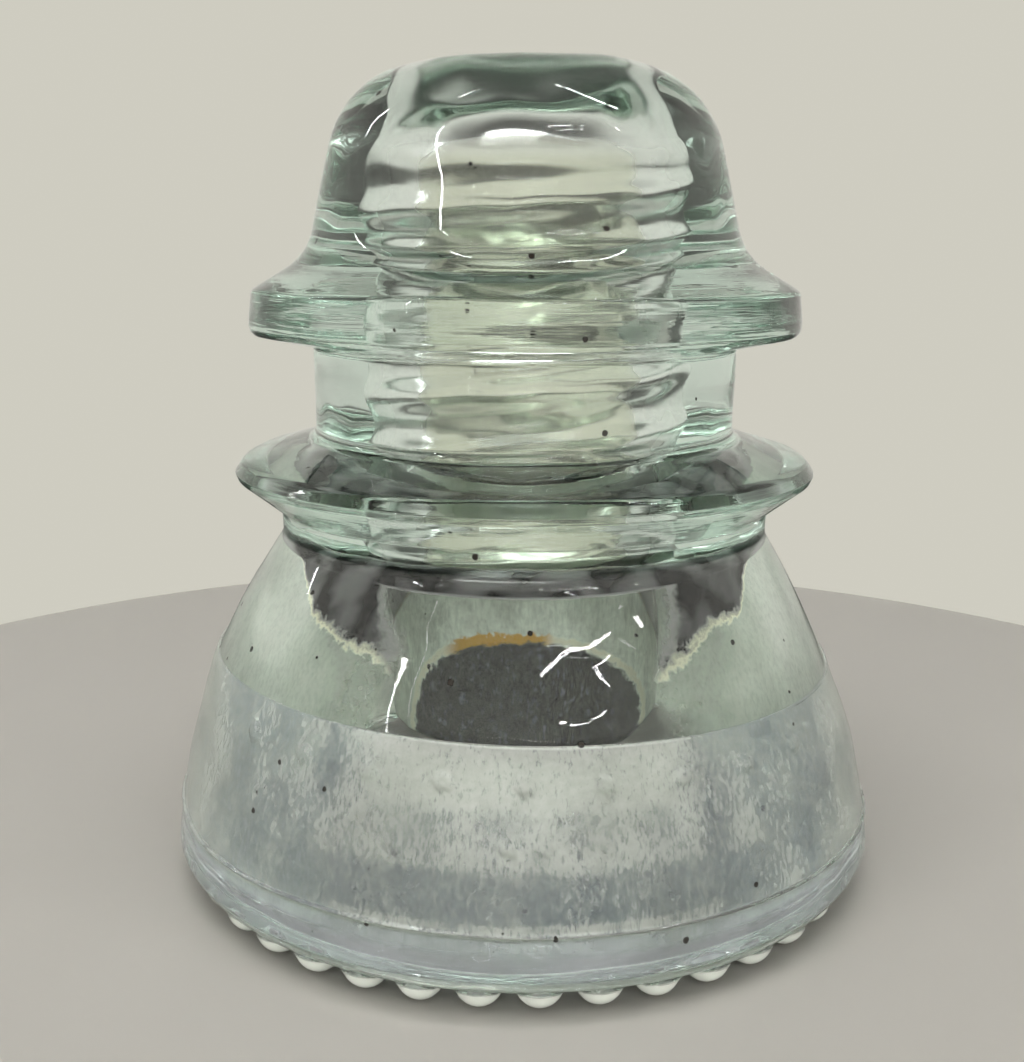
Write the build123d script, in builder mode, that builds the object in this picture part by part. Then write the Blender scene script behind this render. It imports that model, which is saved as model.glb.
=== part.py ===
from build123d import *
import math
import os

os.makedirs("parts", exist_ok=True)

# Pin insulator pressed from one piece of glass, millimetres.
# +Z runs up along the pin hole, the origin is on that axis at the level of the lowest
# points of the drip row, and -Y is the side the picture shows.

# ---- overall ----
base_radius = 42.86        # widest part of the skirt, 3 3/8 in across
height = 95.4              # lowest drip point to the middle of the crown

# ---- crown and dome ----
crown_edge = (20.9, 93.35)     # where crown and dome side would meet without the shoulder
crown_mid = (10.5, 94.9)
shoulder_fillet = 11.6
dome_foot = (25.55, 73.65)     # where dome side and flare would meet
dome_fillet = 7.0

# ---- upper wire ridge (flange) ----
flange_top_edge = (31.85, 69.75)
flange_wide = (32.32, 66.4)
flange_low_edge = (32.2, 64.85)

# ---- wire groove ----
groove_radius = 25.0
groove_top = 63.3
groove_bottom = 52.9

# ---- lower wire ridge ----
ridge_top_edge = (33.55, 50.5)
ridge_line = (34.45, 49.1)
ridge_low_edge = (34.1, 48.3)
ridge_foot = (29.45, 44.7)

# ---- waist and skirt ----
waist_radius = 29.22
waist_low = 41.2
skirt_mid_upper = (33.47, 34.0)
step_height = 26.9         # mould line half way down the skirt
step_radius = 37.1         # above the line
step_proud = 0.3           # the band below stands out by this much
skirt_mid_lower = (40.82, 16.0)
foot_height = 5.0          # fine line above the rounded foot
seam_height = 9.3          # seam bead round the foot ring
seam_wall = 42.4
seam_bead = 0.38

# ---- rim with its row of drip points ----
rim_height = 2.6
rim_outer = 40.9
rim_inner = 34.9
drip_radius = 2.6
drip_ring = 38.75
drip_count = 40
drip_start = -87.75        # degrees from +X to the first point

# ---- raised pips on the band below the mould line, each the cap of a ball ----
pip_ball = 2.47
pip_centre = (36.62, 22.71)    # radius and height of the ball's centre
pip_angles = [side + step for side in (-90, 90) for step in range(-48, 49, 12)]
low_pip_ball = 2.05
low_pip_centre = (38.67, 17.13)
low_pip_angles = [-92.5, -87.5]

# ---- space between skirt and inner petticoat ----
gap_outer_low = (34.9, 6.0)
gap_outer_mid = (32.4, 20.6)
gap_outer_top = (24.3, 38.0)
gap_fillet = 5.0           # rounds the meeting of outer wall and crest
gap_crest = (20.9, 41.2)
gap_inner_top = (17.5, 38.0)
petticoat_radius = 16.9
petticoat_bottom = 16.0

# ---- pin hole ----
entry_radius = 13.9        # smooth part below the thread
entry_top = 37.4
crest_radius = 12.4        # thread crests
thread_start = 38.9
thread_end = 82.0
hole_top = 87.0
hole_top_fillet = 5.0
pitch = 6.35               # 4 threads per inch, right hand
thread_round = 1.4         # the groove is a round channel of this radius
thread_path = 12.3         # its centre line

with BuildPart() as glass:
    # Half section of the body, drawn on the XZ plane and turned about Z.
    with BuildSketch(Plane.XZ) as section:
        with BuildLine() as outline:
            ThreePointArc((0, height), crown_mid, crown_edge)
            Polyline(
                crown_edge,
                dome_foot,
                flange_top_edge,
                flange_wide,
                flange_low_edge,
                (groove_radius, groove_top),
                (groove_radius, groove_bottom),
                ridge_top_edge,
                ridge_line,
                ridge_low_edge,
                ridge_foot,
                (waist_radius, ridge_foot[1] - 0.8),
                (waist_radius, waist_low),
            )
            ThreePointArc((waist_radius, waist_low), skirt_mid_upper, (step_radius, step_height + 0.1))
            Line((step_radius, step_height + 0.1), (step_radius + step_proud, step_height - 0.1))
            ThreePointArc((step_radius + step_proud, step_height - 0.1), skirt_mid_lower, (base_radius, foot_height))
            ThreePointArc((base_radius, foot_height), (42.15, 3.5), (rim_outer, rim_height))
            Line((rim_outer, rim_height), (rim_inner, rim_height))
            Line((rim_inner, rim_height), gap_outer_low)
            ThreePointArc(gap_outer_low, gap_outer_mid, gap_outer_top)
            ThreePointArc(gap_outer_top, gap_crest, gap_inner_top)
            Polyline(
                gap_inner_top,
                (petticoat_radius, petticoat_bottom),
                (entry_radius, petticoat_bottom),
                (entry_radius, entry_top),
                (crest_radius, thread_start),
                (crest_radius, hole_top),
                (0, hole_top),
                (0, height),
            )
        make_face()

        def corner(point):
            return section.vertices().sort_by_distance(Vector(point[0], point[1], 0))[0]

        for point, radius in (
            (crown_edge, shoulder_fillet),
            (dome_foot, dome_fillet),
            (flange_top_edge, 0.9),
            (flange_wide, 5.0),
            (flange_low_edge, 1.1),
            ((groove_radius, groove_top), 0.8),
            ((groove_radius, groove_bottom), 1.6),
            (ridge_top_edge, 1.7),
            (ridge_line, 0.2),
            (ridge_low_edge, 0.8),
            (ridge_foot, 0.6),
            ((waist_radius, waist_low), 3.0),
            ((rim_inner, rim_height), 1.0),
            (gap_outer_top, gap_fillet),
            ((petticoat_radius, petticoat_bottom), 1.6),
            ((entry_radius, petticoat_bottom), 1.2),
            ((entry_radius, entry_top), 1.0),
            ((crest_radius, hole_top), hole_top_fillet),
        ):
            fillet(corner(point), radius=radius)
    revolve(axis=Axis.Z)

    # Seam bead where the foot ring of the mould met the skirt.
    with BuildSketch(Plane.XZ) as bead:
        with Locations((seam_wall - 0.1, seam_height)):
            Circle(seam_bead)
    revolve(axis=Axis.Z)

    # Drip points: a row of small domes under the rim.
    with Locations((0, 0, rim_height)):
        with PolarLocations(drip_ring, drip_count, start_angle=drip_start):
            Sphere(drip_radius)

    # Pips.
    for angles, centre, ball in (
        (pip_angles, pip_centre, pip_ball),
        (low_pip_angles, low_pip_centre, low_pip_ball),
    ):
        for angle in angles:
            a = math.radians(angle)
            with Locations((centre[0] * math.cos(a), centre[0] * math.sin(a), centre[1])):
                Sphere(ball)

    # Pin thread: a round channel winding up the hole from the smooth entry.
    with BuildLine(Plane.XY.offset(entry_top - 2.0)) as winding:
        Helix(pitch=pitch, height=thread_end - entry_top + 2.0, radius=thread_path)
    with BuildSketch(Plane(origin=winding.line @ 0, z_dir=winding.line % 0)) as channel:
        Circle(thread_round)
    sweep(path=winding.line, is_frenet=True, mode=Mode.SUBTRACT)

glass.part.label = "glass_insulator"
export_step(glass.part, "parts/glass_insulator.step")
print("volume cm3", round(glass.part.volume / 1000, 1), "mass kg at 2.5 g/cm3", round(glass.part.volume * 2.5e-6, 3))
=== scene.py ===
import math

import bpy
import numpy as np
from mathutils import Matrix, Vector


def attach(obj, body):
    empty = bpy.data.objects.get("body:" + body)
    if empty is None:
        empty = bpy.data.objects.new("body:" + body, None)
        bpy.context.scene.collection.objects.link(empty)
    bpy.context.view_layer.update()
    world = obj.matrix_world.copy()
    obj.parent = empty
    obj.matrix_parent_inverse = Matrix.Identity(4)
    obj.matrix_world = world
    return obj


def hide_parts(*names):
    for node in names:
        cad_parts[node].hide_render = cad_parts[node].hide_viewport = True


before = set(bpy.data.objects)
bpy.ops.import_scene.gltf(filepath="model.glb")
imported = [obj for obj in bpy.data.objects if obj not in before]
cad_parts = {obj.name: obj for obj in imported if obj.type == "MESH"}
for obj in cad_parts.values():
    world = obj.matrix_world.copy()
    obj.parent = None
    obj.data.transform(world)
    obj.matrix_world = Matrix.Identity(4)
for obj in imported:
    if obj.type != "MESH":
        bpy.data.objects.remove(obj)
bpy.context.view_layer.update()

MM = 0.001

# ---------------------------------------------------------------------------------------------------------------------
# Section of the glass, radius and height in millimetres: crown centre, down the outside, round the foot, up the gap,
# over the petticoat, up the pin hole to its closed end. An arc is (end, a point on it); a line is (end,).
# ---------------------------------------------------------------------------------------------------------------------
SECTION_START = (0.0, 95.4)
SECTION = [
    ((12.7767, 94.6516), (6.3998, 95.2210)),
    ((22.6823, 85.7993), (19.1222, 91.7838)),
    ((24.8846, 76.4691),),
    ((28.0129, 72.1254), (26.0171, 73.9864)),
    ((31.4911, 69.9722),),
    ((31.9086, 69.3320), (31.7712, 69.6986)),
    ((32.2445, 66.9385),),
    ((32.2780, 65.8579), (32.2905, 66.3991)),
    ((32.2633, 65.6678),),
    ((31.3981, 64.6774), (31.9950, 65.0291)),
    ((25.6316, 63.4360),),
    ((25.0000, 62.6539), (25.1776, 63.1565)),
    ((25.0000, 54.1127),),
    ((26.1676, 52.5723), (25.3249, 53.1462)),
    ((32.9285, 50.6745),),
    ((33.8991, 49.9570), (33.4796, 50.4048)),
    ((34.3921, 49.1901),),
    ((34.4070, 49.0018), (34.4232, 49.0979)),
    ((34.1818, 48.4870),),
    ((33.9386, 48.1751), (34.0798, 48.3158)),
    ((29.6051, 44.8201),),
    ((29.3958, 44.5115), (29.4759, 44.6825)),
    ((29.2200, 43.9000),),
    ((29.2200, 42.0604),),
    ((29.6714, 40.4777), (29.3351, 41.2375)),
    ((37.1000, 27.0000), (33.5609, 33.8354)),
    ((37.4000, 26.8000),),
    ((42.8600, 5.0000), (40.8029, 16.0685)),
    ((40.9000, 2.6000), (42.1894, 3.5473)),
    ((35.9000, 2.6000),),
    ((34.9000, 3.6000), (35.1929, 2.8929)),
    ((34.9000, 6.0000),),
    ((24.3000, 38.0000), (31.7414, 22.7093)),
    ((17.5000, 38.0000), (20.9000, 41.2000)),
    ((16.9424, 17.5564),),
    ((15.3430, 16.0000), (16.4589, 16.4533)),
    ((15.1000, 16.0000),),
    ((13.9000, 17.2000), (14.2515, 16.3515)),
    ((13.9000, 36.9858),),
    ((13.6071, 37.6929), (13.8239, 37.3685)),
    ((12.4000, 38.9000),),
    ((12.4000, 82.0000),),
    ((7.4000, 87.0000), (10.9355, 85.5355)),
    ((0.0000, 87.0000),),
]

THREAD_PITCH = 6.35
THREAD_DEPTH = 0.65
THREAD_FIRST = 35.4
THREAD_LAST = 82.0

DRIP_COUNT = 40
DRIP_RADIUS = 2.6
DRIP_RING = 38.75
DRIP_FIRST = math.radians(-87.75)
RIM_Z = 2.6


def circle_through(a, b, c):
    """Centre and radius of the circle through three points."""
    ax, ay, bx, by, cx, cy = *a, *b, *c
    d = 2 * (ax * (by - cy) + bx * (cy - ay) + cx * (ay - by))
    ux = ((ax**2 + ay**2) * (by - cy) + (bx**2 + by**2) * (cy - ay) + (cx**2 + cy**2) * (ay - by)) / d
    uy = ((ax**2 + ay**2) * (cx - bx) + (bx**2 + by**2) * (ax - cx) + (cx**2 + cy**2) * (bx - ax)) / d
    return (ux, uy), math.hypot(ax - ux, ay - uy)


def dense_section():
    """The section at a fine step: points, and where on it each edge ends, by length."""
    points, ends, bends = [np.array([SECTION_START])], [0.0], []
    here = SECTION_START
    for edge in SECTION:
        end = edge[0]
        if len(edge) == 1:
            length = math.dist(here, end)
            t = np.linspace(0, 1, max(2, int(length / 0.01)) + 1)[1:, None]
            points.append(np.array(here) * (1 - t) + np.array(end) * t)
            bends.append(0.0)
        else:
            centre, radius = circle_through(here, edge[1], end)
            a0 = math.atan2(here[1] - centre[1], here[0] - centre[0])
            a1 = math.atan2(edge[1][1] - centre[1], edge[1][0] - centre[0])
            a2 = math.atan2(end[1] - centre[1], end[0] - centre[0])
            turn = (a2 - a0) % (2 * math.pi)
            if (a1 - a0) % (2 * math.pi) > turn:
                turn -= 2 * math.pi
            length = abs(turn) * radius
            a = a0 + turn * np.linspace(0, 1, max(3, int(length / 0.01)) + 1)[1:]
            points.append(np.stack([centre[0] + radius * np.cos(a), centre[1] + radius * np.sin(a)], 1))
            bends.append(abs(turn))
        ends.append(ends[-1] + length)
        here = end
    points = np.vstack(points)
    step = np.hypot(*np.diff(points, axis=0).T)
    return points, np.concatenate([[0], np.cumsum(step)]), ends, bends


def rounded(points, along, at, reach):
    """The section with the corner at one length on it rounded, by averaging over a window that closes at both ends."""
    window = np.maximum(reach - np.abs(along - at), 0)
    total = np.vstack([[0, 0], np.cumsum((points[1:] + points[:-1]) / 2 * np.diff(along)[:, None], axis=0)])
    out = points.copy()
    for k in np.nonzero(window > 0.02)[0]:
        a, b = along[k] - window[k], along[k] + window[k]
        for axis in (0, 1):
            out[k, axis] = (np.interp(b, along, total[:, axis]) - np.interp(a, along, total[:, axis])) / (b - a)
    return out


POINTS, ALONG, EDGE_ENDS, EDGE_BENDS = dense_section()
POINTS = rounded(POINTS, ALONG, EDGE_ENDS[33], 2.4)
TOTAL = ALONG[-1]


def section_at(s):
    return np.interp(s, ALONG, POINTS[:, 0]), np.interp(s, ALONG, POINTS[:, 1])


def s_on_edge(edge, height):
    """Length along the section where one edge passes a height."""
    s = np.linspace(EDGE_ENDS[edge], EDGE_ENDS[edge + 1], 4000)
    z = section_at(s)[1]
    return float(s[np.argmin(np.abs(z - height))])


S_STEP = EDGE_ENDS[26]
S_SEAM = s_on_edge(27, 9.3)
rim_arc = np.linspace(EDGE_ENDS[28], EDGE_ENDS[29], 2000)
S_RIM_OUT = float(rim_arc[np.argmin(np.abs(section_at(rim_arc)[0] - 41.78))])
rim_flat = np.linspace(EDGE_ENDS[29], EDGE_ENDS[30], 2000)
S_RIM_IN = float(rim_flat[np.argmin(np.abs(section_at(rim_flat)[0] - 36.0))])
R_RIM_OUT, R_RIM_IN = 41.78, 36.0


# ---------------------------------------------------------------------------------------------------------------------
# Surface: a point for every place along the section and every angle
# ---------------------------------------------------------------------------------------------------------------------
wave_random = np.random.default_rng(60)
WAVES = []
for wavelength, height, count in ((26.0, 0.046, 5), (13.0, 0.019, 7), (6.5, 0.009, 8), (3.6, 0.0026, 8)):
    for _ in range(count):
        v = wave_random.normal(size=3)
        v *= 2 * math.pi / (wavelength * wave_random.uniform(0.8, 1.25)) / np.linalg.norm(v)
        WAVES.append((v, wave_random.uniform(0, 2 * math.pi), height * wave_random.uniform(0.6, 1.3)))


def smooth(t):
    t = np.clip(t, 0, 1)
    return t * t * (3 - 2 * t)


def bump(x, low, high, soft):
    return smooth((x - low) / soft) * smooth((high - x) / soft)


PIPS = [(-90 + a, 23.4, 1.25, 0.34) for a in range(-48, 49, 12)]
PIPS += [(90 + a, 23.4, 1.25, 0.34) for a in range(-48, 49, 12)]
PIPS += [(-90 + a, 17.6, 1.0, 0.26) for a in (-2.5, 2.5)]


def proud(s, theta, r, z):
    """How far the glass stands out of the true section, along the surface normal, in millimetres."""
    x, y = r * np.cos(theta), r * np.sin(theta)
    out = np.zeros_like(r)
    for v, phase, height in WAVES:
        out = out + height * np.sin(v[0] * x + v[1] * y + v[2] * z + phase)
    out = out * np.where(s > EDGE_ENDS[31], 1.25, 1.0) * smooth((r - 0.5) / 6)
    # the rim and its foot stay true, so that it stands level
    out = out * smooth(np.abs(z - RIM_Z) / 4)
    # mould seam round the foot
    line = S_SEAM + 0.33 * np.cos(theta) + 0.05 * np.sin(5 * theta + 1)
    out = out + 0.30 * np.exp(-((s - line) / 0.24) ** 2)
    # pips where the mould's marks are
    for angle, height, radius, rise in PIPS:
        d = np.hypot((np.angle(np.exp(1j * (theta - math.radians(angle))))) * 38.6, (z - height) * 1.03)
        near = (s > S_STEP) & (s < S_SEAM)
        out = out + np.where(near, rise * smooth((radius - d) / (0.62 * radius)), 0.0)
    return out


def thread_depth(theta, z):
    """Depth of the thread's rounded groove outside the bore wall."""
    turn = (z - THREAD_FIRST) / THREAD_PITCH - theta / (2 * math.pi)
    wave = 0.5 + 0.5 * np.cos(2 * math.pi * turn)
    run = smooth((z - 38.6) / 2.0) * smooth((THREAD_LAST + 0.6 - z) / 3.0)
    return THREAD_DEPTH * wave**1.4 * run


def drips(r, theta):
    """Height of the underside of the rim with its drip points."""
    flat = np.full_like(r, RIM_Z)
    low = np.interp(r, RIM_ARC_R, RIM_ARC_Z)
    base = np.where(r > 40.9, low, flat)
    phase = (theta - DRIP_FIRST) / (2 * math.pi / DRIP_COUNT)
    off = (phase - np.round(phase)) * (2 * math.pi / DRIP_COUNT)
    across = r * np.sin(off)
    along = r * np.cos(off) - DRIP_RING
    d = np.hypot(across, along)
    dome = np.where(d < DRIP_RADIUS * 0.985, RIM_Z - np.sqrt(np.maximum(DRIP_RADIUS**2 - d**2, 0)),
                    RIM_Z - 0.449 + (d - DRIP_RADIUS * 0.985) * 5.7)
    k = 0.22
    h = np.clip(0.5 + 0.5 * (base - dome) / k, 0, 1)
    return base * (1 - h) + dome * h - k * h * (1 - h)


arc_s = np.linspace(EDGE_ENDS[29], EDGE_ENDS[28], 400)
RIM_ARC_R, RIM_ARC_Z = section_at(arc_s)


def place(s, theta):
    """Points of the surface, for arrays of the same shape."""
    r, z = section_at(s)
    r2, z2 = section_at(np.minimum(s + 0.02, TOTAL))
    r1, z1 = section_at(np.maximum(s - 0.02, 0))
    tr, tz = r2 - r1, z2 - z1
    n = np.hypot(tr, tz)
    nr, nz = -tz / n, tr / n          # points out of the glass
    d = proud(s, theta, r, z)
    in_bore = (s > EDGE_ENDS[40]) & (s < EDGE_ENDS[43])
    d = d - np.where(in_bore, thread_depth(theta, z), 0.0)
    r, z = r + d * nr, z + d * nz
    x, y = r * np.cos(theta), r * np.sin(theta)
    # the step between the two mould halves runs a little out of level
    lean = bump(s, S_STEP - 13, S_STEP + 11, 9.0)
    z = z - 0.021 * x * lean
    return np.stack([x, y, z], -1)


def place_rim(r, theta):
    return np.stack([r * np.cos(theta), r * np.sin(theta), drips(r, theta)], -1)


def normals_of(f, a, b, da, db, flip=1.0):
    pa = f(a + da, b) - f(a - da, b)
    pb = f(a, b + db) - f(a, b - db)
    n = np.cross(pa, pb) * flip
    return n / np.maximum(np.linalg.norm(n, axis=-1, keepdims=True), 1e-12)


class Builder:
    def __init__(self):
        self.points, self.normals, self.along, self.faces = [], [], [], []
        self.count = 0

    def add(self, points, normals, along):
        first = self.count
        self.along.append(np.broadcast_to(np.asarray(along, float), (len(points),)))
        self.points.append(points.reshape(-1, 3))
        self.normals.append(normals.reshape(-1, 3))
        self.count += len(self.points[-1])
        return np.arange(first, self.count)

    def band(self, upper, lower):
        """Quads between two rings with as many points."""
        u2, l2 = np.roll(upper, -1), np.roll(lower, -1)
        self.faces.append(np.stack([upper, lower, l2, u2], 1))

    def fan(self, centre, ring, flip):
        r2 = np.roll(ring, -1)
        c = np.full_like(ring, centre)
        self.faces.append(np.stack([c, ring, r2] if not flip else [c, r2, ring], 1))

    def zipper(self, upper, ua, lower, la):
        """Triangles between two rings with different angles, both sorted."""
        n, m = len(upper), len(lower)
        i = j = 0
        tris = []
        ua = np.append(ua, ua[0] + 2 * math.pi)
        la = np.append(la, la[0] + 2 * math.pi)
        while i < n or j < m:
            if j >= m or (i < n and ua[i + 1] <= la[j + 1]):
                tris.append((upper[i % n], lower[j % m], upper[(i + 1) % n]))
                i += 1
            else:
                tris.append((upper[i % n], lower[j % m], lower[(j + 1) % m]))
                j += 1
        self.faces.append(np.array(tris))


def rows_between(first, last, gap, most_bend):
    """Places of the rows between two lengths on the section: closer where it bends, with each corner marked by rows on both sides."""
    out = []
    for k in range(len(SECTION)):
        a, b = max(EDGE_ENDS[k], first), min(EDGE_ENDS[k + 1], last)
        if b - a < 1e-6:
            continue
        share = (b - a) / (EDGE_ENDS[k + 1] - EDGE_ENDS[k])
        n = max(1, math.ceil((b - a) / gap), math.ceil(EDGE_BENDS[k] * share / math.radians(most_bend)))
        out.append(np.linspace(a, b, n + 1))
    s = np.unique(np.round(np.concatenate(out), 4))
    return s


def with_corners(s, corners, side=0.09):
    extra = [c + d for c in corners for d in (-side, side)]
    s = s[[min(abs(v - c) for c in corners) > side * 1.6 or min(abs(v - c) for c in corners) < 1e-3 for v in s]]
    return np.unique(np.round(np.concatenate([s, extra]), 4))


def ring_angles(n):
    return DRIP_FIRST + np.arange(n) * 2 * math.pi / n


def build_glass():
    b = Builder()
    # zones of rows: first and last length, row gap, columns
    s_pips_top, s_pips_low = S_STEP + 1.2, s_on_edge(27, 15.2)
    zones = [
        (0.55, s_pips_top, 1.15, 7.5, 200),
        (s_pips_top, s_pips_low, 0.50, 9.0, 480),
        (s_pips_low, S_RIM_OUT, 1.1, 8.0, 200),
    ]
    corners = [EDGE_ENDS[22], EDGE_ENDS[25] + (EDGE_ENDS[26] - EDGE_ENDS[25]), EDGE_ENDS[26], EDGE_ENDS[27]]
    corners = [EDGE_ENDS[23], EDGE_ENDS[26], EDGE_ENDS[27]]
    previous = None
    p = place(np.array([0.02]), np.array([0.0]))
    top = b.add(np.array([[0, 0, p[0, 2]]]), np.array([[0.0, 0, 1.0]]), 0.0)[0]

    def surface_rows(rows, columns, previous):
        angles = ring_angles(columns)
        for s in rows:
            ss = np.full(columns, s)
            pts = place(ss, angles)
            radius = max(section_at(s)[0], 0.5)
            nrm = normals_of(place, ss, angles, 0.03, 0.03 / radius)
            ring = b.add(pts, nrm, s)
            if previous is None:
                b.fan(top, ring, False)
            elif len(previous[0]) == len(ring):
                b.band(previous[0], ring)
            else:
                b.zipper(previous[0], previous[1], ring, angles)
            previous = (ring, angles)
        return previous

    for first, last, gap, bend, columns in zones:
        rows = rows_between(first, last, gap, bend)
        near = [c for c in corners if first < c < last]
        if near:
            rows = with_corners(rows, near)
        if first < S_SEAM < last:
            rows = rows[np.abs(rows - S_SEAM) > 1.05]
            rows = np.sort(np.concatenate([rows, S_SEAM + np.linspace(-0.96, 0.96, 17)]))
        if previous is not None:
            rows = rows[rows > previous_s + 0.25]
        previous = surface_rows(rows, columns, previous)
        previous_s = rows[-1]

    # the rim with its drip points: each point's cell is a square grid drawn in to circles
    half = np.array([0, 0.19, 0.38, 0.55, 0.69, 0.80, 0.88, 0.94, 1.0])
    cell_u = np.concatenate([-half[:0:-1], half])          # across one cell, both ends
    columns = DRIP_COUNT * (len(cell_u) - 1)
    mid, reach = DRIP_RING, 2.78
    pitch = 2 * math.pi / DRIP_COUNT
    rings = []
    for v in cell_u[::-1]:                                 # outside first
        row_r, row_t = [], []
        for k in range(DRIP_COUNT):
            for u in cell_u[:-1]:
                q = max(abs(u), abs(v))
                if q < 1e-9:
                    du = dv = 0.0
                else:
                    round_share = 1 - smooth(np.array((q - 0.9) / 0.1))
                    scale = q / math.hypot(u, v)
                    du = u * (1 - round_share) + u * scale * round_share
                    dv = v * (1 - round_share) + v * scale * round_share
                # radius on the dome, then out to the cell's own edge
                out_r = mid + (dv * reach if abs(dv) < 0.9 else math.copysign(
                    0.9 * reach + (abs(dv) - 0.9) / 0.1 * ((R_RIM_OUT - mid if dv > 0 else mid - R_RIM_IN) - 0.9 * reach), dv))
                wide = (reach / mid) if abs(du) < 0.9 else None
                ang = du * reach / mid if abs(du) < 0.9 else math.copysign(
                    0.9 * reach / mid + (abs(du) - 0.9) / 0.1 * (pitch / 2 - 0.9 * reach / mid), du)
                row_r.append(out_r)
                row_t.append(DRIP_FIRST + k * pitch + ang)
        rings.append((np.array(row_r), np.array(row_t)))
    for r, t in rings:
        pts = place_rim(r, t)
        nrm = normals_of(place_rim, r, t, 0.02, 0.02 / mid, flip=-1.0)
        ring = b.add(pts, nrm, np.interp(r, [R_RIM_IN, R_RIM_OUT], [S_RIM_IN, S_RIM_OUT]))
        if len(previous[0]) == len(ring):
            b.band(previous[0], ring)
        else:
            # angles start half a cell before the first drip point; put both rings in the same order
            shift = np.argmax(t >= previous[1][0] - 1e-9)
            order = np.roll(np.arange(len(t)), -shift)
            tt = np.where(np.arange(len(t)) < len(t) - shift, t[order], t[order] + 2 * math.pi)
            b.zipper(previous[0], previous[1], ring[order], tt)
        previous = (ring, t)

    # inside: gap, petticoat, entry, bore
    columns = 144
    rows = np.concatenate([
        rows_between(S_RIM_IN + 0.35, EDGE_ENDS[41], 1.15, 9.0),
        rows_between(EDGE_ENDS[41], EDGE_ENDS[42], 0.48, 9.0)[1:],
        rows_between(EDGE_ENDS[42], TOTAL - 0.5, 1.2, 9.0)[1:],
    ])
    angles = ring_angles(columns)
    ring0, t0 = previous
    shift = int(np.argmax(t0 >= angles[0] - 1e-9))
    order = np.roll(np.arange(len(t0)), -shift)
    tt = np.where(np.arange(len(t0)) < len(t0) - shift, t0[order], t0[order] + 2 * math.pi)
    first_ring = True
    for s in rows:
        ss = np.full(columns, s)
        pts = place(ss, angles)
        radius = max(section_at(s)[0], 0.5)
        nrm = normals_of(place, ss, angles, 0.03, 0.03 / radius)
        ring = b.add(pts, nrm, s)
        if first_ring:
            b.zipper(ring0[order], tt, ring, angles)
            first_ring = False
        else:
            b.band(previous[0], ring)
        previous = (ring, angles)
    p = place(np.array([TOTAL - 0.02]), np.array([0.0]))
    end = b.add(np.array([[0, 0, p[0, 2]]]), np.array([[0.0, 0, -1.0]]), TOTAL)[0]
    b.fan(end, previous[0], True)

    points = np.vstack(b.points) * MM
    normals = np.vstack(b.normals)
    return points, normals, np.concatenate(b.along), b.faces


def glass_mesh():
    points, normals, along, faces = build_glass()
    quads = np.vstack([f for f in faces if f.shape[1] == 4])
    tris = np.vstack([f for f in faces if f.shape[1] == 3])
    mesh = bpy.data.meshes.new("pressed_glass")
    mesh.vertices.add(len(points))
    mesh.vertices.foreach_set("co", points.astype(np.float32).ravel())
    loops = np.concatenate([quads.ravel(), tris.ravel()]).astype(np.int32)
    mesh.loops.add(len(loops))
    mesh.loops.foreach_set("vertex_index", loops)
    starts = np.concatenate([np.arange(len(quads)) * 4, len(quads) * 4 + np.arange(len(tris)) * 3]).astype(np.int32)
    mesh.polygons.add(len(starts))
    mesh.polygons.foreach_set("loop_start", starts)
    mesh.polygons.foreach_set("use_smooth", np.ones(len(starts), bool))
    mesh.update(calc_edges=True)
    mesh.validate()
    # normals point out of the glass on every face
    face = quads[1000]
    n = np.cross(points[face[1]] - points[face[0]], points[face[2]] - points[face[0]])
    if n @ normals[face[0]] < 0:
        mesh.flip_normals()
    mesh.normals_split_custom_set_from_vertices(normals.astype(np.float32))
    mesh.update()
    mesh.attributes.new("along", "FLOAT", "POINT").data.foreach_set("value", along.astype(np.float32))
    mm = points / MM
    for name, wavelength, seed, upright in (("cloud", 11.0, 5, 0.7), ("broad", 26.0, 8, 0.7), ("smear", 6.0, 12, 0.5)):
        random = np.random.default_rng(seed)
        total = np.zeros(len(mm))
        for octave in range(3):
            for _ in range(7):
                v = random.normal(size=3) * (1, 1, upright)
                v *= 2 * math.pi / (wavelength / 2**octave) / np.linalg.norm(v)
                total += np.sin(mm @ v + random.uniform(0, 2 * math.pi)) * 0.5**octave
        patch = smooth(0.5 + total / 8.5)
        mesh.attributes.new(name, "FLOAT", "POINT").data.foreach_set("value", patch.astype(np.float32))
    print("glass: %d points, %d triangles" % (len(points), len(quads) * 2 + len(tris)))
    return mesh


glass = bpy.data.objects.new("insulator_glass", glass_mesh())
bpy.context.scene.collection.objects.link(glass)


# ---------------------------------------------------------------------------------------------------------------------
# Materials
# ---------------------------------------------------------------------------------------------------------------------
def new_material(name):
    m = bpy.data.materials.new(name)
    m.use_nodes = True
    m.node_tree.nodes.clear()
    return m, m.node_tree.nodes, m.node_tree.links


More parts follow.
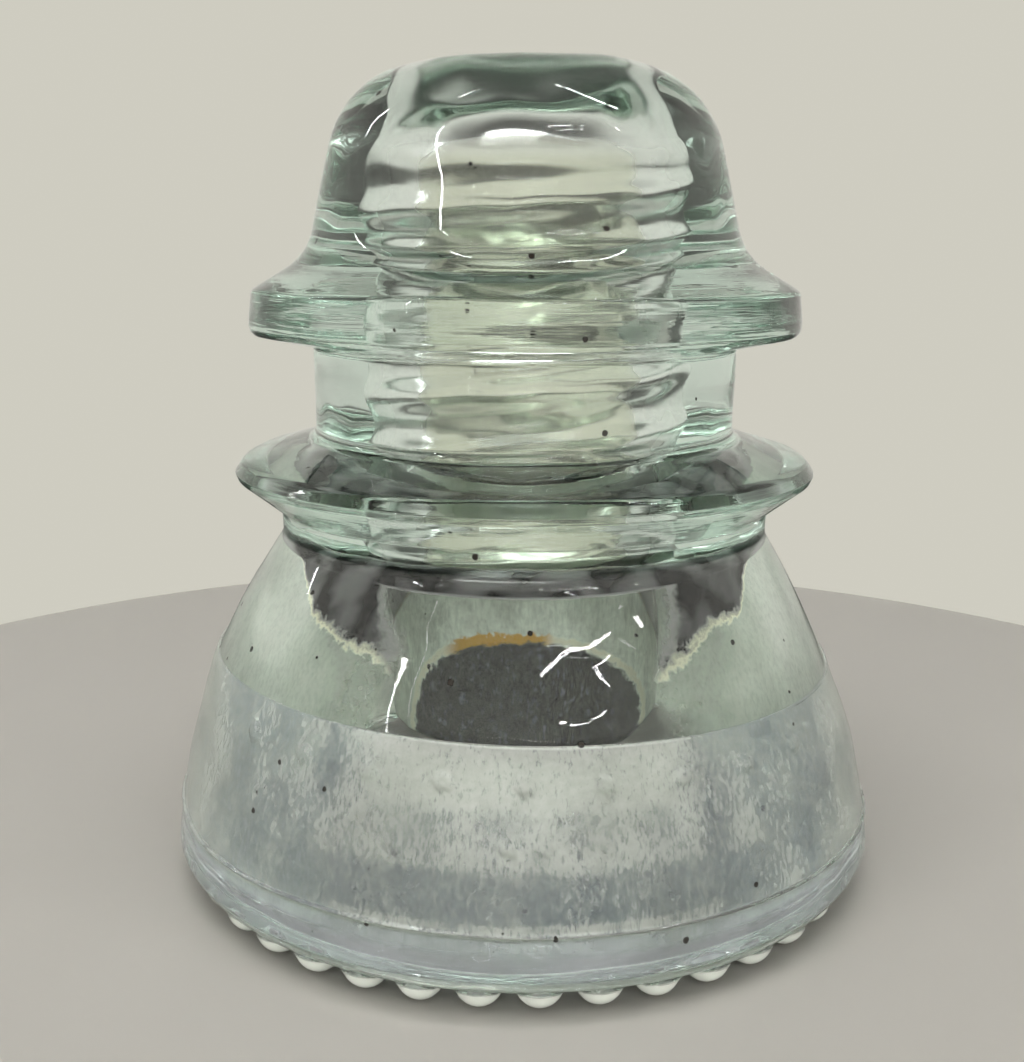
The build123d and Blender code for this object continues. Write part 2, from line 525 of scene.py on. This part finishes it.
class Sum:
    """A value in a node tree that takes part in ordinary arithmetic."""

    def __init__(self, tree, socket):
        self.tree, self.socket = tree, socket

    def op(self, kind, *others, clamp=False):
        node = self.tree.nodes.new("ShaderNodeMath")
        node.operation = kind
        node.use_clamp = clamp
        for k, v in enumerate((self, *others)):
            if isinstance(v, Sum):
                self.tree.links.new(v.socket, node.inputs[k])
            else:
                node.inputs[k].default_value = v
        return Sum(self.tree, node.outputs[0])

    def __add__(self, o): return self.op("ADD", o)
    __radd__ = __add__
    def __mul__(self, o): return self.op("MULTIPLY", o)
    __rmul__ = __mul__
    def __sub__(self, o): return self.op("SUBTRACT", o)
    def __rsub__(self, o): return (self * -1.0) + o
    def __truediv__(self, o): return self.op("DIVIDE", o)
    def power(self, o): return self.op("POWER", o)
    def least(self, o): return self.op("MINIMUM", o)
    def most(self, o): return self.op("MAXIMUM", o)
    def held(self): return self.op("ADD", 0.0, clamp=True)
    def distance(self): return self.op("ABSOLUTE")

    def rise(self, low, high):
        """0 below low, 1 above high, smooth between; falls instead where low is above high."""
        node = self.tree.nodes.new("ShaderNodeMapRange")
        node.interpolation_type = "SMOOTHSTEP"
        self.tree.links.new(self.socket, node.inputs["Value"])
        flip = low > high
        node.inputs["From Min"].default_value = min(low, high)
        node.inputs["From Max"].default_value = max(low, high)
        node.inputs["To Min"].default_value = 1.0 if flip else 0.0
        node.inputs["To Max"].default_value = 0.0 if flip else 1.0
        return Sum(self.tree, node.outputs["Result"])


class Paint:
    """Short ways to the nodes that the materials here use; lengths are in millimetres."""

    def __init__(self, material):
        self.tree = material.node_tree
        self.nodes, self.links = self.tree.nodes, self.tree.links
        where = self.nodes.new("ShaderNodeTexCoord")
        scale = self.nodes.new("ShaderNodeVectorMath")
        scale.operation = "SCALE"
        scale.inputs["Scale"].default_value = 1000.0
        self.links.new(where.outputs["Object"], scale.inputs[0])
        self.mm = scale.outputs[0]
        split = self.nodes.new("ShaderNodeSeparateXYZ")
        self.links.new(self.mm, split.inputs[0])
        self.x, self.y, self.z = (Sum(self.tree, split.outputs[k]) for k in range(3))

    def attribute(self, name):
        node = self.nodes.new("ShaderNodeAttribute")
        node.attribute_name = name
        return Sum(self.tree, node.outputs["Fac"])

    def stretched(self, sx, sy, sz, dx=0.0, dy=0.0, dz=0.0):
        node = self.nodes.new("ShaderNodeMapping")
        node.inputs["Scale"].default_value = (sx, sy, sz)
        node.inputs["Location"].default_value = (dx, dy, dz)
        self.links.new(self.mm, node.inputs["Vector"])
        return node.outputs[0]

    def noise(self, size, detail=3.0, rough=0.55, stretch=(1, 1, 1), shift=0.0):
        """Noise whose blobs are about size millimetres across."""
        node = self.nodes.new("ShaderNodeTexNoise")
        node.inputs["Scale"].default_value = 1.0
        node.inputs["Detail"].default_value = detail
        node.inputs["Roughness"].default_value = rough
        k = 1.0 / size
        self.links.new(self.stretched(k * stretch[0], k * stretch[1], k * stretch[2], shift, shift * 0.7, -shift), node.inputs["Vector"])
        return Sum(self.tree, node.outputs["Fac"])

    def specks(self, cell, radius, share, shift=0.0):
        """Round specks: one in some cells of a grid, of mixed sizes."""
        node = self.nodes.new("ShaderNodeTexVoronoi")
        node.feature = "F1"
        node.inputs["Scale"].default_value = 1.0
        k = 1.0 / cell
        self.links.new(self.stretched(k, k, k, shift, -shift, shift * 0.3), node.inputs["Vector"])
        split = self.nodes.new("ShaderNodeSeparateColor")
        self.links.new(node.outputs["Color"], split.inputs[0])
        there = Sum(self.tree, split.outputs[0]).op("LESS_THAN", share)
        size = Sum(self.tree, split.outputs[1]) * (radius * 0.75 / cell) + radius * 0.25 / cell
        near = (size - Sum(self.tree, node.outputs["Distance"])) * (cell / radius * 3.0)
        return near.held() * there

    def mix(self, share, a, b):
        node = self.nodes.new("ShaderNodeMix")
        node.data_type = "RGBA"
        if isinstance(share, Sum):
            self.links.new(share.socket, node.inputs["Factor"])
        else:
            node.inputs["Factor"].default_value = share
        for socket, v in ((node.inputs[6], a), (node.inputs[7], b)):
            if isinstance(v, tuple):
                socket.default_value = (*v, 1.0)
            else:
                self.links.new(v, socket)
        return node.outputs[2]

    def bump(self, height, distance_mm, strength=1.0, normal=None):
        node = self.nodes.new("ShaderNodeBump")
        node.inputs["Strength"].default_value = strength
        node.inputs["Distance"].default_value = distance_mm * 0.001
        self.links.new(height.socket, node.inputs["Height"])
        if normal is not None:
            self.links.new(normal, node.inputs["Normal"])
        return node.outputs[0]


def glass_material():
    m, nodes, links = new_material("aqua_glass")
    t = Paint(m)
    s = t.attribute("along")
    cloud = t.attribute("cloud")            # soft patches, 0 to 1
    broad = t.attribute("broad")            # wider patches, 0 to 1
    smear = t.attribute("smear") - 0.5      # smaller upright ones, about 0

    fine = t.noise(0.9, 3.0, 0.66)
    streak = t.noise(0.42, 3.0, 0.70, stretch=(1, 1, 0.30), shift=7.7)
    side = t.x.distance()
    front = t.y.rise(4.0, -4.0)

    # where on the section a point is
    band = s.rise(S_STEP - 0.10, S_STEP + 0.20) * s.rise(S_SEAM + 0.15, S_SEAM - 0.25)
    foot = s.rise(S_SEAM, S_SEAM + 0.5) * s.rise(S_RIM_IN + 0.5, S_RIM_IN - 0.5)
    in_skirt = s.rise(EDGE_ENDS[31], EDGE_ENDS[31] + 1) * s.rise(EDGE_ENDS[33] + 0.2, EDGE_ENDS[33] - 0.2)
    petticoat = s.rise(EDGE_ENDS[34] - 3.2, EDGE_ENDS[34] - 2.4) * s.rise(EDGE_ENDS[37], EDGE_ENDS[37] - 1.0)
    entry = s.rise(EDGE_ENDS[37], EDGE_ENDS[37] + 0.6) * s.rise(EDGE_ENDS[39] + 1.2, EDGE_ENDS[39] + 0.2)

    # frosted band under the mould line, with fine upright dark scuffs at its sides, and darker low down
    low_in_band = s.rise(S_SEAM - 8, S_SEAM - 5) * s.rise(S_SEAM - 0.6, S_SEAM - 1.6) * side.rise(33, 22)
    at_sides = side.rise(13, 20) * side.rise(38, 31)
    middle = s.rise(S_SEAM - 13, S_SEAM - 11) * (0.30 + smear * 0.3)
    density = (at_sides * (0.50 + broad * 0.30 + smear * 0.46)).most(low_in_band * (0.84 + smear * 0.30)).most(middle)
    scuff = (streak + (density - 0.5) * 0.24).rise(0.40, 0.70)
    milk = band * (0.36 + cloud * 0.08 + (fine - 0.5) * 0.16) * (1.0 - density * 0.20) * (1.0 - scuff * 0.34)
    foot_milk = foot * (0.09 + cloud * 0.08 + fine * 0.12) * t.z.rise(3.8, 5.2)
    # painted light: the drip points get a milky white share that stands for the light clear drips gather; the glass
    # there is clear
    painted_light_tips = foot * t.z.rise(2.5, 2.1) * 0.84

    # deposit on the skirt's inner wall, up to an uneven crusted line that climbs towards the sides
    ragged = (fine - 0.5) * 2.6 + (cloud - 0.5) * 1.4
    climb = side * 0.42 - 6.4 + side.rise(21.5, 25.5) * 14.0
    line = t.z + ragged - t.y.rise(16.0, -4.0) * climb - 31.3
    out_of_middle = (side + (cloud - 0.5) * 2.4 + (fine - 0.5) * 2.4).rise(12.0, 15.0).most(1.0 - front).most(t.z.rise(24.5, 22.5))
    dust = in_skirt * line.rise(0.2, -0.2) * out_of_middle
    dust_edge = in_skirt * line.distance().rise(0.75, 0.2) * out_of_middle * side.rise(23.5, 22.0) * front
    # milky dust on the inner wall, made thicker towards the sides as painted light for the glow the glass carries
    # there
    dust_and_glow_milk = dust * (0.30 + side.rise(18.0, 23.0) * 0.32 + smear * 0.10 + (fine - 0.5) * 0.16)

    # painted shade above that line, in the crest of the gap and round the start of the thread, dark where the glass
    # looks through to shade
    above = (line.rise(0.1, 0.9) * out_of_middle).most(t.z.rise(37.7, 38.6))
    crest = s.rise(EDGE_ENDS[33] - 0.5, EDGE_ENDS[33]) * s.rise(EDGE_ENDS[34] - 2.4, EDGE_ENDS[34] - 3.2)
    painted_shade = (in_skirt * above).most(crest) * front * side.rise(25.0, 22.5) * (0.94 + smear * 0.22)

    # petticoat: a pale dusty face with painted glints along its top edge, and low on it a patch of painted shade, near
    # black where the pin hole's mouth shows through, with a crusted edge
    corner = (side - 10.6).most(0.0)
    face = (t.z + corner * corner * 0.25 + ragged * 0.12 - 36.0).rise(0.4, -0.4)
    arch_x = ((t.x - 0.5) / 13.3).distance().power(2.3)
    arch_z = ((t.z - 17.0) / 14.0).distance().power(2.3)
    arch = (arch_x + arch_z).power(0.435) + (fine - 0.5) * 0.13
    facing = t.y.rise(-1.0, -2.0)
    # painted shade: a dark arch on the front of the petticoat, where the mouth of the pin hole shows dark
    painted_mouth_shade = petticoat * facing * arch.rise(1.0, 0.965) * (0.86 + streak * 0.20)
    crust_at = (arch - 1.02).distance()
    crust = petticoat * facing * crust_at.rise(0.04, 0.01) * 0.8
    ochre = petticoat * facing * crust_at.rise(0.06, 0.03) * t.x.rise(3.5, 1.5) * t.x.rise(-9.0, -7.0) * t.z.rise(26.5, 28.5)
    face_milk = petticoat * face * (0.80 + smear * 0.30 + (fine - 0.5) * 0.5)
    # painted shade on the petticoat above its pale face
    painted_shade = painted_shade.most(petticoat * (1.0 - face) * facing * (0.74 + smear * 0.3))
    # painted highlight: white glints along the top edge of the petticoat's face
    painted_glint_line = petticoat * facing * (t.z + corner * corner * 0.25 + ragged * 0.12 - 36.2).distance().rise(0.42, 0.15) * fine.rise(0.36, 0.56)
    bore = s.rise(EDGE_ENDS[40], EDGE_ENDS[40] + 1.0) * t.z.rise(85.5, 83.0)
    cap = s.rise(EDGE_ENDS[42] - 0.5, EDGE_ENDS[42] + 1.0)
    inner_milk = dust_and_glow_milk + face_milk + entry * 0.16 + bore * (0.02 + cloud * 0.05)
    painted_mouth_shade = painted_mouth_shade.held()
    # both patches of painted shade together
    dark = painted_mouth_shade.most(painted_shade)

    # specks of dirt in and on the glass
    dots = (t.specks(2.6, 0.44, 0.20) * 1.7 - fine.rise(0.40, 0.60)).held() * (1.0 - band * 0.7)

    rough = band * (0.20 - scuff * 0.10) + foot * 0.03 + dust * 0.14 + bore * 0.13 + cap * 0.12 + painted_mouth_shade * 0.35
    milky = milk + foot_milk + painted_light_tips + inner_milk + (dust_edge + crust + painted_glint_line) * 0.55 + ochre * 0.3
    clear = ((1.0 - milky) * (1.0 - dark) * (1.0 - dots)).held()

    colour = t.mix((milk * 4.0).held(), (1.0, 1.0, 1.0), t.mix((scuff * 0.50 + density * 0.34).held(), (0.60, 0.63, 0.59), (0.17, 0.21, 0.28)))
    colour = t.mix((foot_milk * 6.0).held(), colour, (0.80, 0.85, 0.92))
    # painted light on the drip points, near white
    colour = t.mix((painted_light_tips * 6.0).held(), colour, (0.96, 1.0, 0.94))
    colour = t.mix((inner_milk * 5.0).held(), colour, t.mix(streak.rise(0.42, 0.66) * 0.55, (0.88, 0.98, 0.85), (0.60, 0.70, 0.60)))
    colour = t.mix(bore, colour, (0.88, 0.88, 0.77))
    # darker and browner towards the closed end of the pin hole
    lid = s.rise(EDGE_ENDS[43] - 1.5, EDGE_ENDS[43])
    colour = t.mix(lid * 0.6, colour, (0.30, 0.25, 0.18))
    # pale crusted lines of deposit, and the painted glints on the face's top edge
    colour = t.mix(((dust_edge + crust + painted_glint_line) * 0.9).held(), colour, (0.80, 0.80, 0.62))
    colour = t.mix(ochre, colour, (0.58, 0.36, 0.08))
    # lighter streaks within the painted shade of the arch
    marble = painted_mouth_shade * (streak * 0.6 + fine * 0.4).rise(0.50, 0.66)
    # painted shade: the dark arch and the dark above the deposit line
    colour = t.mix(dark, colour, t.mix(marble, (0.003, 0.003, 0.004), (0.13, 0.14, 0.18)))
    colour = t.mix((dots * 8.0).held(), colour, (0.018, 0.015, 0.012))

    # fine turning lines of the mould round both ridges, and the grain of the frost
    ridges = s.rise(EDGE_ENDS[4] - 2.0, EDGE_ENDS[4]) * s.rise(EDGE_ENDS[11], EDGE_ENDS[11] - 2.0)
    ridges = ridges + s.rise(EDGE_ENDS[14], EDGE_ENDS[14] + 1.0) * s.rise(EDGE_ENDS[22], EDGE_ENDS[22] - 1.0)
    lines = t.noise(0.55, 2.0, 0.6, stretch=(0.035, 0.035, 1), shift=3.1)
    relief = t.bump(ridges * lines + band * fine * 0.5, 0.035)

    out = nodes.new("ShaderNodeOutputMaterial")
    p = nodes.new("ShaderNodeBsdfPrincipled")
    links.new(relief, p.inputs["Normal"])
    links.new(colour, p.inputs["Base Color"])
    links.new(rough.held().socket, p.inputs["Roughness"])
    links.new(clear.socket, p.inputs["Transmission Weight"])
    p.inputs["IOR"].default_value = 1.5
    links.new(p.outputs["BSDF"], out.inputs["Surface"])
    v = nodes.new("ShaderNodeVolumeAbsorption")
    v.inputs["Color"].default_value = (0.64, 0.86, 0.76, 1)
    v.inputs["Density"].default_value = 15.0
    links.new(v.outputs["Volume"], out.inputs["Volume"])
    return m


glass.data.materials.append(glass_material())
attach(glass, "root")
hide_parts("glass_insulator")


# ---------------------------------------------------------------------------------------------------------------------
# Floor, light, camera
# ---------------------------------------------------------------------------------------------------------------------
def disc(name, radius, z, columns=128):
    mesh = bpy.data.meshes.new(name)
    a = np.arange(columns) * 2 * math.pi / columns
    verts = [(0, 0, z)] + [(radius * math.cos(t), radius * math.sin(t), z) for t in a]
    faces = [(0, 1 + i, 1 + (i + 1) % columns) for i in range(columns)]
    mesh.from_pydata(verts, [], faces)
    o = bpy.data.objects.new(name, mesh)
    bpy.context.scene.collection.objects.link(o)
    return o


floor = disc("floor", 0.14, 0.0, 256)
m, nodes, links = new_material("floor_pale")
out = nodes.new("ShaderNodeOutputMaterial")
p = nodes.new("ShaderNodeBsdfPrincipled")
p.inputs["Base Color"].default_value = (0.30, 0.290, 0.270, 1)
p.inputs["Roughness"].default_value = 0.55
links.new(p.outputs["BSDF"], out.inputs["Surface"])
floor.data.materials.append(m)

WALL = (0.62, 0.605, 0.53, 1)
world = bpy.data.worlds.new("studio")
world.use_nodes = True
wn, wl = world.node_tree.nodes, world.node_tree.links
back = wn["Background"]
where = wn.new("ShaderNodeTexCoord")
split = wn.new("ShaderNodeSeparateXYZ")
wl.new(where.outputs["Generated"], split.inputs[0])
height = wn.new("ShaderNodeMapRange")
height.inputs["From Min"].default_value, height.inputs["From Max"].default_value = -1.0, 1.0
wl.new(split.outputs[2], height.inputs["Value"])
tones = wn.new("ShaderNodeValToRGB")
wl.new(height.outputs[0], tones.inputs[0])
e = tones.color_ramp.elements
stops = [(-90, 0.03), (-24, 0.04), (-13, 0.08), (-8, 0.60), (0, 0.70), (24, 0.70), (42, 0.40), (58, 0.11), (90, 0.07)]


def sky(angle):
    return (math.sin(math.radians(angle)) + 1) / 2


for k, (angle, tone) in enumerate([stops[0], stops[-1]] + stops[1:-1]):
    stop = e[k] if k < 2 else e.new(sky(angle))
    stop.color = (tone, tone * 0.976, tone * 0.89, 1)
front = wn.new("ShaderNodeMapRange")
front.inputs["From Min"].default_value, front.inputs["From Max"].default_value = 0.2, -0.4
front.inputs["To Min"].default_value, front.inputs["To Max"].default_value = 1.0, 1.3
wl.new(split.outputs[1], front.inputs["Value"])
raised = wn.new("ShaderNodeVectorMath")
raised.operation = "SCALE"
wl.new(tones.outputs[0], raised.inputs[0])
wl.new(front.outputs[0], raised.inputs["Scale"])
path = wn.new("ShaderNodeLightPath")
pick = wn.new("ShaderNodeMix")
pick.data_type = "RGBA"
wl.new(path.outputs["Is Camera Ray"], pick.inputs["Factor"])
wl.new(raised.outputs[0], pick.inputs[6])
pick.inputs[7].default_value = WALL
wl.new(pick.outputs[2], back.inputs["Color"])
back.inputs["Strength"].default_value = 1.0
bpy.context.scene.world = world


def area_light(name, place_at, look_at, size, size_y, watts, colour=(1, 1, 1)):
    data = bpy.data.lights.new(name, "AREA")
    data.shape = "RECTANGLE"
    data.size, data.size_y = size, size_y
    data.energy = watts
    data.color = colour
    o = bpy.data.objects.new(name, data)
    o.location = place_at
    o.rotation_mode = "QUATERNION"
    o.rotation_quaternion = (Vector(look_at) - Vector(place_at)).to_track_quat("-Z", "Y")
    bpy.context.scene.collection.objects.link(o)
    return o


soft = area_light("softbox", (-0.06, -0.20, 0.62), (0, 0, 0.0), 0.45, 0.45, 4.5, (1.0, 0.99, 0.955))
fill = area_light("front_fill", (0.0, -0.75, 0.09), (0, 0, 0.02), 0.50, 0.14, 1.1, (1.0, 0.99, 0.97))
for light in (soft, fill):
    light.visible_glossy = False
    light.visible_camera = False
tubes = [
    area_light("tube_left_low", (-0.665, -0.559, 0.45), (0, 0, 0.06), 0.016, 0.36, 0.6),
    area_light("tube_left_high", (-0.36, -0.16, 0.90), (0, 0, 0.06), 0.016, 0.22, 0.36),
    area_light("tube_right_high", (0.36, -0.84, 0.74), (0, 0, 0.06), 0.46, 0.014, 0.62),
    area_light("tube_right_low", (0.42, -0.88, 0.66), (0, 0, 0.06), 0.34, 0.011, 0.36),
    area_light("tube_far_right", (0.78, -0.55, 0.70), (0, 0, 0.06), 0.022, 0.050, 0.085),
    area_light("tube_top", (0.42, -0.13, 1.05), (0, 0, 0.06), 0.026, 0.60, 2.0),
    area_light("tube_side", (-0.78, 0.20, 0.50), (0, 0, 0.06), 0.022, 0.26, 0.4),
]
for light in tubes:
    light.visible_camera = False

camera_data = bpy.data.cameras.new("camera")
camera = bpy.data.objects.new("camera", camera_data)
bpy.context.scene.collection.objects.link(camera)
camera_data.sensor_fit = "HORIZONTAL"
camera_data.sensor_width = 36.0
camera_data.lens = 45.316
camera_data.clip_start, camera_data.clip_end = 0.01, 20.0
camera.location = (-0.001414, -0.15548, 0.07474)
camera.rotation_mode = "QUATERNION"
camera.rotation_quaternion = (
    Matrix.Rotation(math.radians(77.529), 3, "X") @ Matrix.Rotation(math.radians(0.231), 3, "Z")
).to_quaternion()
bpy.context.scene.camera = camera

cycles = bpy.context.scene.cycles
cycles.max_bounces = 10
cycles.transmission_bounces = 10
cycles.glossy_bounces = 8
cycles.diffuse_bounces = 2
cycles.transparent_max_bounces = 8
cycles.caustics_refractive = True
cycles.caustics_reflective = False
cycles.use_light_tree = False
cycles.use_adaptive_sampling = True
cycles.adaptive_threshold = 0.3
cycles.adaptive_min_samples = 12
cycles.use_denoising = True
cycles.sample_clamp_indirect = 8.0

view = bpy.context.scene.view_settings
view.view_transform = "Standard"
view.look = "None"
view.exposure = 0.0
view.gamma = 1.0
